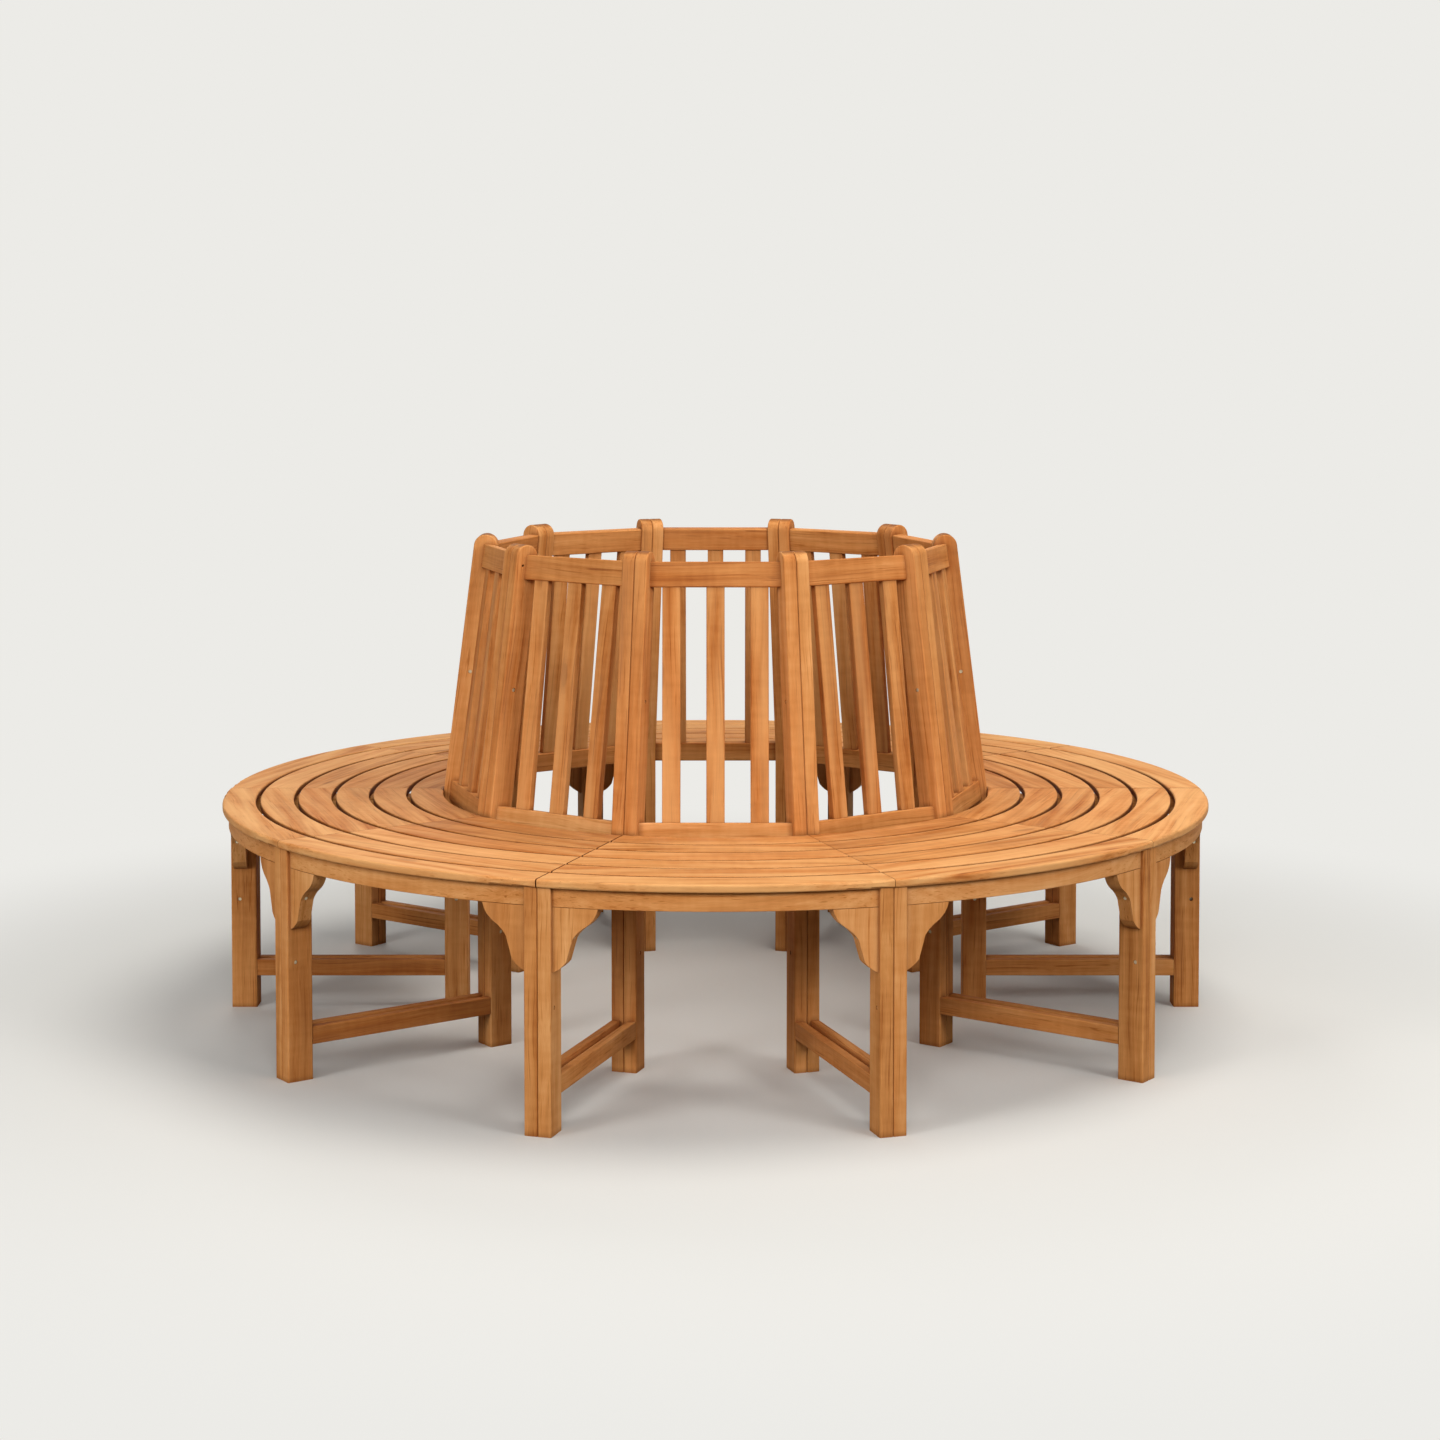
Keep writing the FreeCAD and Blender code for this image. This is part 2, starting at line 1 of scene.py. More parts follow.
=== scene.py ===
# %% [markdown]
# Round tree bench in oiled hardwood
#
# The bench is ten equal sections that close into a ring. Its boards come ready made, at their real size, from
# the imported model, so this lesson gives them what a photograph shows beyond shape: timber whose grain runs the
# right way in every board, weather marks and painted light and shade that differ from the seat to the back, steel
# fasteners, a floor, studio lamps and a camera. All of it is worked out from nodes and numbers, and no picture is laid
# on the wood.

import math

import bpy
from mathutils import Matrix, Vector

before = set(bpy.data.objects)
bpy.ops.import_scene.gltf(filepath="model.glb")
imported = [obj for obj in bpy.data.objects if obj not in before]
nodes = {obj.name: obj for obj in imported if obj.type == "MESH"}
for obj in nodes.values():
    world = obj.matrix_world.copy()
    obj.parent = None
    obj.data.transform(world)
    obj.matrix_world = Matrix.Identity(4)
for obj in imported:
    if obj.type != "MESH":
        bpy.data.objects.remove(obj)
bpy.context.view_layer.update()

# %% [markdown]
# One helper for every node tree
#
# Shaders and geometry trees are both made of nodes with settings and links. This one small function adds a node,
# sets its properties and feeds its inputs in order. An input is a plain value, a socket, or another node, which
# stands for its first output. Inputs that are easier to read by name go into `named`.

# %% Node helper
MATH = "ShaderNodeMath"
NOISE = "ShaderNodeTexNoise"


def add_node(tree, kind, *values, named=None, **settings):
    node = tree.nodes.new(kind)
    for name, value in settings.items():
        setattr(node, name, value)
    for key, value in [*enumerate(values), *(named or {}).items()]:
        if isinstance(value, bpy.types.Node):
            value = value.outputs[0]
        if isinstance(value, bpy.types.NodeSocket):
            tree.links.new(value, node.inputs[key])
        else:
            node.inputs[key].default_value = value
    return node


print("node types that have a short name:", MATH, NOISE)

# %% [markdown]
# Colours as they are seen
#
# A colour is easiest to judge as the hex value that a screen shows. Blender works with linear light, so each hex
# value is turned to linear once, here. Lamps, paper, steel and wood all use this one function.

# %% Colour helper
def linear(hex_value):
    channels = [int(hex_value[i:i + 2], 16) / 255 for i in (1, 3, 5)]
    return [c / 12.92 if c <= 0.04045 else ((c + 0.055) / 1.055) ** 2.4 for c in channels] + [1.0]


print("oiled hardwood in linear light:", [round(c, 3) for c in linear("#CC8A4D")])

# %% [markdown]
# Where the grain runs
#
# A real board is sawn along the log, so its grain follows its length: upright in legs, posts, brackets and back
# slats, across the section in seat boards, aprons and rails, and towards the middle of the ring in stretchers and
# bearers. A texture that ran one way through the whole bench would give itself away at once. These lists say, for
# every piece, which way its boards were sawn, whether they stand at a frame between two sections, and whether they
# lean inwards.

# %% Sort the pieces by the way they were sawn
SAWN = {
    "upright": ("outer_leg", "back_post", "brackets", "back_slats"),
    "across": ("seat_slat_ring", "outer_aprons", "bottom_rails", "top_rail"),
    "inward": ("stretcher_pair", "seat_bearers"),
}
AT_A_FRAME = ("outer_leg", "back_post", "brackets", "stretcher_pair", "seat_bearers")
LEANING = ("back_post", "back_slats")
STEEL = ("connector_bolts", "connector_nuts", "bracket_screws", "slat_screws")

steel = [name for name in nodes if name.startswith(STEEL)]
wooden = sorted(name for name in nodes if name not in steel)
for way, stems in SAWN.items():
    print(way, "grain:", sum(name.startswith(stems) for name in wooden), "pieces")
print("steel pieces:", len(steel))

# %% [markdown]
# What weather, use and painted light and shade do to each kind of board
#
# The boards of one bench never match. The seat is paler, most of all at the rim, where nothing shades it: partly
# from sun bleaching and partly as a painted highlight. Each kind of plank is painted lighter or darker as light and
# shade: the aprons lighter, the back, the stretchers and the inner rings of the seat darker. The gaps of the seat
# are darkened as painted shade, and the corners elsewhere less so. One table keeps these marks for every kind of
# piece, so that one material can serve the whole bench. A second table says how far the dark line between two half
# members stands from their joint: it is on the joint in posts, a little off it and so fainter in legs, and a metre
# away, which is nowhere, in all other pieces.

# %% Weather marks, painted light and shade, and joint lines
# For each kind of piece: how bleached and painted pale it is, how much lighter or darker its planks are painted as
# light and shade, how dark its gaps and corners are painted as shade.
WEATHER_AND_PAINTED_LIGHT = {
    # The seat rings go paler and lighter towards the rim and darker inwards: painted light and shade, with some sun
    # bleaching.
    "seat_slat_ring_6": (0.70, 0.05, 1.00),
    "seat_slat_ring_5": (0.58, 0.03, 1.00),
    "seat_slat_ring_4": (0.46, -0.01, 1.00),
    "seat_slat_ring_3": (0.40, -0.06, 1.00),
    "seat_slat_ring_2": (0.34, -0.11, 1.00),
    "seat_slat_ring_1": (0.30, -0.16, 1.00),
    "back_slats": (0.44, -0.17, 0.50),
    "back_post": (0.24, -0.10, 0.45),
    "top_rail": (0.15, -0.13, 0.50),
    "outer_aprons": (0.15, 0.10, 0.45),
    "stretcher_pair": (0.15, -0.14, 0.45),
}
OTHER_WEATHER_AND_PAINTED_LIGHT = (0.15, 0.0, 0.45)
OFF_JOINT = {"back_post": 0.0, "outer_leg": 0.0006}
NO_JOINT = 1.0


def by_kind(table, name, otherwise):
    return next((value for stem, value in table.items() if name.startswith(stem)), otherwise)


print("weathered in a way of their own:", sum(name.startswith(tuple(WEATHER_AND_PAINTED_LIGHT)) for name in wooden), "pieces")

# %% [markdown]
# Which section a face belongs to
#
# Every board of the ring is one of ten, turned by 36 degrees from the last. The angle of a face round the middle
# of the bench, divided by the turn of a section and rounded, gives the section that it belongs to. Turning a
# point back by the angle of its own section then gives the board's own directions: inward, across and up. It
# could be worked out in the shader as well, but then every ray of light would pay for it, so geometry nodes do it
# once.

# %% Find the section of a face and turn it back to the front
SECTIONS = 10.0
SECTION_TURN = math.tau / SECTIONS
FRONT_SECTION = math.radians(-90)
FRONT_FRAME = math.radians(-72)


def find_section(tree, face_middle, first_angle):
    x, y, _ = add_node(tree, "ShaderNodeSeparateXYZ", face_middle).outputs
    angle = add_node(tree, MATH, y, x, operation="ARCTAN2")
    from_first = add_node(tree, MATH, angle, first_angle, operation="SUBTRACT")
    steps = add_node(tree, MATH, from_first, SECTION_TURN, operation="DIVIDE")
    whole = add_node(tree, MATH, steps, operation="ROUND")
    section = add_node(tree, MATH, whole, SECTIONS, operation="FLOORED_MODULO")
    turn = add_node(tree, MATH, section, SECTION_TURN, first_angle, operation="MULTIPLY_ADD")
    return section, add_node(tree, MATH, turn, -1.0, operation="MULTIPLY")


def turned_back(tree, vector, turn_back):
    turned = add_node(
        tree, "ShaderNodeVectorRotate", named={"Vector": vector, "Angle": turn_back}, rotation_type="Z_AXIS",
    )
    return add_node(tree, "ShaderNodeSeparateXYZ", turned).outputs


print("a section turns by", round(math.degrees(SECTION_TURN), 1), "degrees")

# %% [markdown]
# The grain of a leaning board
#
# Above the seat the posts and back slats lean inwards, and their grain leans with them. Adding back what the lean
# takes away at each height straightens the board again, so its figure runs along it and not out of its edge.

# %% Straighten what leans
SEAT_HEIGHT = 0.45
BACK_LEAN = math.tan(math.radians(7.3))


def straightened(tree, inward, up, lean):
    above = add_node(tree, MATH, up, SEAT_HEIGHT, operation="SUBTRACT")
    above = add_node(tree, MATH, above, 0.0, operation="MAXIMUM")
    return add_node(tree, MATH, above, lean, inward, operation="MULTIPLY_ADD").outputs[0]


print("the back leans in by", round(BACK_LEAN * 1000), "mm in a metre")

# %% [markdown]
# Board coordinates from a geometry tree
#
# The tree stores what the shader needs to know of each board: `grain`, a place measured along, across and into
# the board, `seam`, the distance from the joint of two half members, `board`, a number that no other board has,
# so that no two share a colour or a figure, `end_grain`, which is 1 on sawn ends, and the three marks of its kind:
# bleaching that is partly a painted highlight, painted light and shade in the tone of its planks, and painted shade
# in its gaps and corners. Two half members count as two boards, since they were two boards before they met.

# %% Geometry tree for one way of sawing
BOARD_INPUTS = {
    "Geometry": "NodeSocketGeometry", "First angle": "NodeSocketFloat", "Piece": "NodeSocketFloat",
    "Lean": "NodeSocketFloat", "Halves": "NodeSocketFloat", "Off joint": "NodeSocketFloat",
    "Weather and painted light": "NodeSocketVector",
}
BOARDS_TO_A_PIECE = 20.0


def board_tree(way, order):
    tree = bpy.data.node_groups.new("boards sawn " + way, "GeometryNodeTree")
    for name, kind in BOARD_INPUTS.items():
        tree.interface.new_socket(name, in_out="INPUT", socket_type=kind)
    tree.interface.new_socket("Geometry", in_out="OUTPUT", socket_type="NodeSocketGeometry")
    inputs = list(tree.nodes.new("NodeGroupInput").outputs)[:len(BOARD_INPUTS)]
    mesh, first_angle, piece, lean, halves, off_joint, weather_and_painted_light = inputs

    place = add_node(tree, "GeometryNodeInputPosition")
    middle = add_node(tree, "GeometryNodeFieldOnDomain", place, data_type="FLOAT_VECTOR", domain="FACE")
    section, turn_back = find_section(tree, middle, first_angle)
    inward, across, up = turned_back(tree, place, turn_back)
    own = (straightened(tree, inward, up, lean), across, up)
    grain = add_node(tree, "ShaderNodeCombineXYZ", *[own[i] for i in order])

    half = add_node(tree, MATH, turned_back(tree, middle, turn_back)[1], 0.0, operation="GREATER_THAN")
    half = add_node(tree, MATH, half, halves, operation="MULTIPLY")
    board = add_node(tree, MATH, section, 2.0, half, operation="MULTIPLY_ADD")
    board = add_node(tree, MATH, piece, BOARDS_TO_A_PIECE, board, operation="MULTIPLY_ADD")

    facing = turned_back(tree, add_node(tree, "GeometryNodeInputNormal"), turn_back)[order[0]]
    end_grain = add_node(tree, MATH, facing, operation="ABSOLUTE")
    from_joint = add_node(tree, MATH, across, operation="ABSOLUTE")
    seam = add_node(tree, MATH, from_joint, off_joint, operation="ADD")

    for name, value, kind, domain in (
        ("grain", grain, "FLOAT_VECTOR", "CORNER"),
        ("seam", seam, "FLOAT", "CORNER"),
        ("board", board, "FLOAT", "FACE"),
        ("end_grain", end_grain, "FLOAT", "FACE"),
        ("weather_and_painted_light", weather_and_painted_light, "FLOAT_VECTOR", "FACE"),
    ):
        mesh = add_node(
            tree, "GeometryNodeStoreNamedAttribute", named={"Geometry": mesh, "Name": name, "Value": value},
            data_type=kind, domain=domain,
        ).outputs[0]
    add_node(tree, "NodeGroupOutput", mesh)
    return tree


print("a board tree takes:", ", ".join(BOARD_INPUTS))

# %% [markdown]
# Three ways of sawing
#
# The three trees differ only in which of a board's own directions comes first, the one that the grain follows.
# Every wooden piece gets one of them as a modifier. A modifier leaves the mesh as it is and only adds the
# attributes to what is rendered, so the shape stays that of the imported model.

# %% Give every wooden piece its board coordinates
INWARD, ACROSS, UP = 0, 1, 2
boards = {
    "upright": board_tree("upright", (UP, ACROSS, INWARD)),
    "across": board_tree("across", (ACROSS, INWARD, UP)),
    "inward": board_tree("inward", (INWARD, ACROSS, UP)),
}

for number, name in enumerate(wooden):
    tree = next(boards[way] for way, stems in SAWN.items() if name.startswith(stems))
    modifier = nodes[name].modifiers.new("board coordinates", "NODES")
    modifier.node_group = tree
    values = {
        "First angle": FRONT_FRAME if name.startswith(AT_A_FRAME) else FRONT_SECTION,
        "Piece": float(number),
        "Lean": BACK_LEAN if name.startswith(LEANING) else 0.0,
        "Halves": float(name.startswith(AT_A_FRAME)),
        "Off joint": by_kind(OFF_JOINT, name, NO_JOINT),
        # Three marks: bleaching that is partly painted highlight, painted light and shade of the planks, painted shade
        # in gaps and corners.
        "Weather and painted light": by_kind(WEATHER_AND_PAINTED_LIGHT, name, OTHER_WEATHER_AND_PAINTED_LIGHT),
    }
    for item in tree.interface.items_tree:
        if item.in_out == "INPUT" and item.name in values:
            modifier[item.identifier] = values[item.name]
print("boards numbered in", len(wooden), "pieces, with", len(boards["upright"].nodes), "nodes in each tree")

# %% [markdown]
# Oiled hardwood
#
# The timber is a warm plantation hardwood, planed and sanded smooth, oiled, and left outdoors for a season or
# two. The oil brings out an orange-brown colour with dark lines in it, and the weather has taken most of its
# shine. The material first reads the board coordinates, and then draws a chance for each thing that varies from
# board to board. White noise does that: it turns the number of a board into numbers that look random and yet are
# the same in every render.

# %% Start the hardwood and draw the chances of each board
hardwood = bpy.data.materials.new("oiled_hardwood")
hardwood.use_nodes = True
wood = hardwood.node_tree
wood.nodes.clear()

grain = add_node(wood, "ShaderNodeAttribute", attribute_name="grain").outputs["Vector"]
board = add_node(wood, "ShaderNodeAttribute", attribute_name="board").outputs["Fac"]
end_grain = add_node(wood, "ShaderNodeAttribute", attribute_name="end_grain").outputs["Fac"]
seam = add_node(wood, "ShaderNodeAttribute", attribute_name="seam").outputs["Fac"]
# The three marks: bleaching that is partly painted highlight, painted light and shade of the planks, painted shade in
# gaps and corners.
weather_and_painted_light = add_node(wood, "ShaderNodeAttribute", attribute_name="weather_and_painted_light").outputs["Vector"]
bleach_and_highlight, painted_light_tone, painted_shade_depth = add_node(wood, "ShaderNodeSeparateXYZ", weather_and_painted_light).outputs
along, across, deep = add_node(wood, "ShaderNodeSeparateXYZ", grain).outputs

SECOND_DRAW = 517.3
first_draw = add_node(wood, "ShaderNodeTexWhiteNoise", named={"W": board}, noise_dimensions="1D")
chance_slope, chance_side, chance_depth = add_node(
    wood, "ShaderNodeSeparateColor", first_draw.outputs["Color"]).outputs
other_board = add_node(wood, MATH, board, SECOND_DRAW, operation="ADD")
second_draw = add_node(wood, "ShaderNodeTexWhiteNoise", named={"W": other_board}, noise_dimensions="1D")
chance_tone, chance_red, _ = add_node(wood, "ShaderNodeSeparateColor", second_draw.outputs["Color"]).outputs
print("attributes read from each board: grain, board, end_grain, seam and weather")

# %% [markdown]
# A log that is never quite straight
#
# Boards are sawn a little off the direction of the log, and the log itself is a little crooked. Each board gets a
# slope of up to 25 mm in a metre either way, and a slow wave, about 400 mm long, bends it by up to 28 mm.
# Everything that follows is drawn in these bent coordinates, so rings, pores and streaks curve together.

# %% Slope and slow bend of each board
WAVES_ALONG, WAVES_ACROSS, WAVE_STEP = 2.4, 3.0, 7.31
BEND = 0.028
SLOPE_RANGE = 0.05

slow_place = add_node(
    wood, "ShaderNodeCombineXYZ",
    add_node(wood, MATH, along, WAVES_ALONG, operation="MULTIPLY"),
    add_node(wood, MATH, board, WAVE_STEP, operation="MULTIPLY"),
    add_node(wood, MATH, across, WAVES_ACROSS, operation="MULTIPLY"),
)
slow_wave = add_node(wood, NOISE, named={"Vector": slow_place, "Scale": 1.0, "Detail": 2.0})
bend_across, bend_deep, _ = add_node(wood, "ShaderNodeSeparateColor", slow_wave.outputs["Color"]).outputs
slope = add_node(wood, MATH, chance_slope, SLOPE_RANGE, -SLOPE_RANGE / 2, operation="MULTIPLY_ADD")
sloped = add_node(wood, MATH, along, slope, across, operation="MULTIPLY_ADD")
bent_across = add_node(wood, MATH, bend_across, BEND, sloped, operation="MULTIPLY_ADD")
bent_deep = add_node(wood, MATH, bend_deep, BEND, deep, operation="MULTIPLY_ADD")
print("a slow wave is about", round(1000 / WAVES_ALONG), "mm long and bends a board by", BEND * 1000, "mm")

# %% [markdown]
# Growth rings cut by the saw
#
# Growth rings are tubes round the pith, and the saw cuts through them, so a solid texture of nested tubes gives
# straight lines on one face of a board and arches on the next, with nothing to line up. Each board has its pith
# in a place of its own, up to 80 mm to either side and 50 to 170 mm behind it. Rings of this timber are about
# 5 mm apart.

# %% Distance from the pith
RING_SPACING = 0.005
PITH_ACROSS, PITH_NEAREST, PITH_DEPTH = 0.16, 0.05, 0.12

pith_across = add_node(wood, MATH, chance_side, PITH_ACROSS, -PITH_ACROSS / 2, operation="MULTIPLY_ADD")
pith_deep = add_node(wood, MATH, chance_depth, PITH_DEPTH, PITH_NEAREST, operation="MULTIPLY_ADD")
from_pith = add_node(
    wood, "ShaderNodeVectorMath",
    add_node(
        wood, "ShaderNodeCombineXYZ",
        add_node(wood, MATH, bent_across, pith_across, operation="ADD"),
        add_node(wood, MATH, bent_deep, pith_deep, operation="ADD"),
        0.0,
    ),
    operation="LENGTH",
).outputs["Value"]
print("rings every", RING_SPACING * 1000, "mm")

# %% [markdown]
# Knots
#
# A branch leaves a small dark eye, and the rings flow round it. Only a few boards of a bench like this have one.
# A cell texture scatters points, one to every 180 mm of length and 50 mm of width, and one point in nine keeps
# its eye. The same value pushes the rings aside by up to 9 mm.

# %% Knots
EYES_ALONG, EYES_ACROSS, EYE_STEP = 5.5, 19.0, 3.3
SHARE_WITH_AN_EYE = 0.11
EYE_OUTSIDE, EYE_INSIDE = 0.26, 0.03
RINGS_PUSHED_BY = 0.009

knot_place = add_node(
    wood, "ShaderNodeCombineXYZ",
    add_node(wood, MATH, along, EYES_ALONG, operation="MULTIPLY"),
    add_node(wood, MATH, across, EYES_ACROSS, operation="MULTIPLY"),
    add_node(wood, MATH, board, EYE_STEP, operation="MULTIPLY"),
)
knot_cells = add_node(wood, "ShaderNodeTexVoronoi", named={"Vector": knot_place, "Scale": 1.0})
knot_chance = add_node(wood, "ShaderNodeSeparateColor", knot_cells.outputs["Color"])
has_knot = add_node(wood, MATH, knot_chance, SHARE_WITH_AN_EYE, operation="LESS_THAN")
eye = add_node(
    wood, "ShaderNodeMapRange", knot_cells.outputs["Distance"], EYE_OUTSIDE, EYE_INSIDE, 0.0, 1.0,
    interpolation_type="SMOOTHERSTEP",
)
eye = add_node(wood, MATH, eye, has_knot, operation="MULTIPLY")
around_eye = add_node(wood, MATH, eye, RINGS_PUSHED_BY, from_pith, operation="MULTIPLY_ADD")
print("one eye to", round(1 / (EYES_ALONG * EYES_ACROSS * SHARE_WITH_AN_EYE), 2), "square metres of board")

# %% [markdown]
# Rings that differ from year to year
#
# A wet year grows a wide pale ring and a dry year a narrow dark one. Counting rings from the pith and reading a
# noise at that count gives bands of uneven width and strength, where a plain wave would give a striped pattern.
# Each board starts at a count of its own.

# %% Rings
RING_STEP = 13.7
ring_count = add_node(wood, MATH, around_eye, RING_SPACING, operation="DIVIDE")
ring_count = add_node(wood, MATH, board, RING_STEP, ring_count, operation="MULTIPLY_ADD")
rings = add_node(
    wood, NOISE, named={"W": ring_count, "Scale": 1.0, "Detail": 3.0, "Roughness": 0.62}, noise_dimensions="1D",
)
print("rings in a seat board 66 mm wide:", round(0.066 / RING_SPACING))

# %% [markdown]
# Pores, lines and patches
#
# The vessels of the wood are cut open along a board and show as short fine lines. Real ones are a fifth of a
# millimetre wide, which no picture of a whole bench would show, so they are drawn about a millimetre wide here.
# Dark lines a few millimetres wide come from minerals in the log, broad streaks and soft clouds from the way the
# timber grew, and a faint ripple across the grain from fibres that wave. Each one is a noise that is stretched
# along the board, and the table gives how many patches of it fit into a metre along and across.

# %% Noises stretched along the grain
BOARD_STEP = 3.7
# For each kind: how many patches fit into a metre along and across the board, and how much fine detail they have.
PATCHES = {
    "pores": (34.0, 900.0, 2.0),       # 29 by 1.1 mm, drawn coarser than the real 10 by 0.2 mm
    "dark lines": (3.5, 330.0, 1.0),   # 286 by 3 mm
    "streaks": (2.0, 80.0, 1.5),       # 500 by 12.5 mm
    "clouds": (5.0, 24.0, 2.0),        # 200 by 42 mm
    "ripple": (70.0, 16.0, 1.0),       # 14 by 62 mm, so it runs across the grain
    # Paler patches: partly sun bleaching, partly a painted highlight.
    "bleaching": (3.0, 48.0, 2.0),     # 333 by 21 mm
}
patches = {}
for name, (per_metre_along, per_metre_across, detail) in PATCHES.items():
    patch_place = add_node(
        wood, "ShaderNodeCombineXYZ",
        add_node(wood, MATH, along, per_metre_along, operation="MULTIPLY"),
        add_node(wood, MATH, bent_across, per_metre_across, operation="MULTIPLY"),
        add_node(
            wood, MATH, bent_deep, per_metre_across,
            add_node(wood, MATH, board, BOARD_STEP, operation="MULTIPLY"), operation="MULTIPLY_ADD",
        ),
    )
    patches[name] = add_node(wood, NOISE, named={"Vector": patch_place, "Scale": 1.0, "Detail": detail})
    print(name, "are", round(1000 / per_metre_along), "by", round(1000 / per_metre_across, 1), "mm")

# %% [markdown]
# From figure to tone
#
# All parts of the figure are added up to one tone, from dark at 0 to light at 1. Each noise swings round its
# middle by its own weight. Dark lines and eyes only ever darken, and a noise shows as separate lines when all but
# its highest values are cut away. Last come the chance of the board and the painted light and shade of its kind,
# which makes its planks lighter or darker.

# %% Tone
MIDDLE_TONE, RING_WEIGHT = 0.35, 0.32
LINE_STARTS, LINE_FULL = 0.62, 0.72

dark_lines = add_node(
    wood, "ShaderNodeMapRange", patches["dark lines"], LINE_STARTS, LINE_FULL, 0.0, 1.0,
)
tone = add_node(wood, MATH, rings, RING_WEIGHT, MIDDLE_TONE, operation="MULTIPLY_ADD")
for part, weight in (
    (patches["clouds"], 0.66), (patches["streaks"], 0.48), (patches["pores"], 0.30),
    (patches["ripple"], 0.20), (chance_tone, 0.24),
):
    centred = add_node(wood, MATH, part, 0.5, operation="SUBTRACT")
    tone = add_node(wood, MATH, centred, weight, tone, operation="MULTIPLY_ADD")
for part, weight in ((dark_lines, -0.28), (eye, -0.50)):
    tone = add_node(wood, MATH, part, weight, tone, operation="MULTIPLY_ADD")
# Painted light and shade: each kind of plank, and each ring of the seat, is made lighter or darker as the light on it
# is stronger or weaker.
tone = add_node(wood, MATH, tone, painted_light_tone, operation="ADD")
print("nodes up to the tone:", len(wood.nodes))

# %% [markdown]
# From tone to colour
#
# A ramp of five colours turns the tone into wood: red-brown where the figure is dark, orange in the middle and
# light tan where it is pale. The colours were matched to the photograph by comparing the red, green and blue of
# the same spots, and not by eye alone, since an orange wood soon comes out too strong.

# %% Colour ramp of the wood
WOOD_COLOURS = (
    (0.0, "#89491D"), (0.25, "#AE6B33"), (0.5, "#CC8A4D"), (0.75, "#E0A469"), (1.0, "#EFBA84"),
)
ramp = add_node(wood, "ShaderNodeValToRGB", tone)
while len(ramp.color_ramp.elements) < len(WOOD_COLOURS):
    ramp.color_ramp.elements.new(0.5)
for element, (place, colour) in zip(ramp.color_ramp.elements, WOOD_COLOURS):
    element.position = place
    element.color = linear(colour)
print("colours from dark to light:", [colour for _, colour in WOOD_COLOURS])

# %% [markdown]
# What lies over the wood's own colour
#
# Four things change the colour, one after the other. Some boards lean to red. Patches of the seat are paler,
# partly from sun bleaching and partly as a painted highlight. End grain drinks more oil and turns brown. The joint
# of two half members keeps dust and old oil in a line about a millimetre wide. The gaps between boards and the
# corners within 12 mm are darkened as painted shade: ambient occlusion finds them, since it measures how much of
# the open air a point can see.

# %% Shares of red, bleach and painted highlight, end grain, and joint oil with painted shade
MOST_RED = 0.20
BLEACH_AND_HIGHLIGHT_STARTS, BLEACH_AND_HIGHLIGHT_FULL = 0.34, 0.68
END_STARTS, END_FULL, END_SHARE = 0.75, 0.95, 0.75
LINE_INSIDE, LINE_OUTSIDE, LINE_SHARE = 0.0003, 0.0010, 0.46
CORNER_REACH, CORNER_CLOSED, CORNER_OPEN = 0.012, 0.60, 0.97

redness = add_node(wood, MATH, chance_red, MOST_RED, operation="MULTIPLY")
# Paler patches, partly sun bleaching and partly a painted highlight, strongest at the rim of the seat.
bleached_and_highlit = add_node(
    wood, "ShaderNodeMapRange", patches["bleaching"], BLEACH_AND_HIGHLIGHT_STARTS, BLEACH_AND_HIGHLIGHT_FULL, 0.0, 1.0,
)
bleached_and_highlit = add_node(wood, MATH, bleached_and_highlit, bleach_and_highlight, operation="MULTIPLY")
open_end = add_node(wood, "ShaderNodeMapRange", end_grain, END_STARTS, END_FULL, 0.0, END_SHARE)
joint_line = add_node(wood, "ShaderNodeMapRange", seam, LINE_INSIDE, LINE_OUTSIDE, LINE_SHARE, 0.0)
# Painted shade: ambient occlusion darkens the gaps between boards and the inside corners, where shade falls.
corner = add_node(wood, "ShaderNodeAmbientOcclusion", named={"Distance": CORNER_REACH}, samples=8)
painted_corner_shade = add_node(
    wood, "ShaderNodeMapRange", corner.outputs["AO"], CORNER_CLOSED, CORNER_OPEN, painted_shade_depth, 0.0,
)
# Oil in the joint of two halves, together with the painted shade of gaps and corners.
joint_oil_and_painted_shade = add_node(wood, MATH, joint_line, painted_corner_shade, operation="MAXIMUM")
# How far the painted shade reaches out of a corner.
print("dirt reaches", CORNER_REACH * 1000, "mm out of a corner")

# %% [markdown]
# Laying one colour over another
#
# A mix node takes a share and two colours. It has inputs for numbers, vectors and colours side by side under the
# same names, so the ones for colours are picked by their place.

# %% Lay the four over the wood
SHARE, UNDER, OVER, LAID = 0, 6, 7, 2
wood_colour = ramp
for share, colour in (
    # The bleach colour is partly a painted highlight; the last colour is joint oil and painted shade in gaps and
    # corners.
    (redness, "#D07B40"), (bleached_and_highlit, "#E8B478"), (open_end, "#70401C"), (joint_oil_and_painted_shade, "#66300E"),
):
    wood_colour = add_node(
        wood, "ShaderNodeMix", named={SHARE: share, UNDER: wood_colour, OVER: linear(colour)}, data_type="RGBA",
    ).outputs[LAID]
    print("laid over the wood:", colour)

# %% [markdown]
# Surface of the oiled hardwood
#
# Oil that has dried in wood has an IOR of about 1.47, and fresh oiled boards have a roughness near 0.4. These
# boards have weathered: the photograph shows an even, almost matt light on them, so the roughness goes up to
# between 0.50 and 0.74, highest where pores are open, and the specular level comes down. Rain has raised the
# grain by less than half a millimetre, and a bump shows that.

# %% Surface
ROUGH_AT_LEAST, ROUGH_RANGE = 0.50, 0.24
RAISED_GRAIN, RAISED_SHARE = 0.0004, 0.25

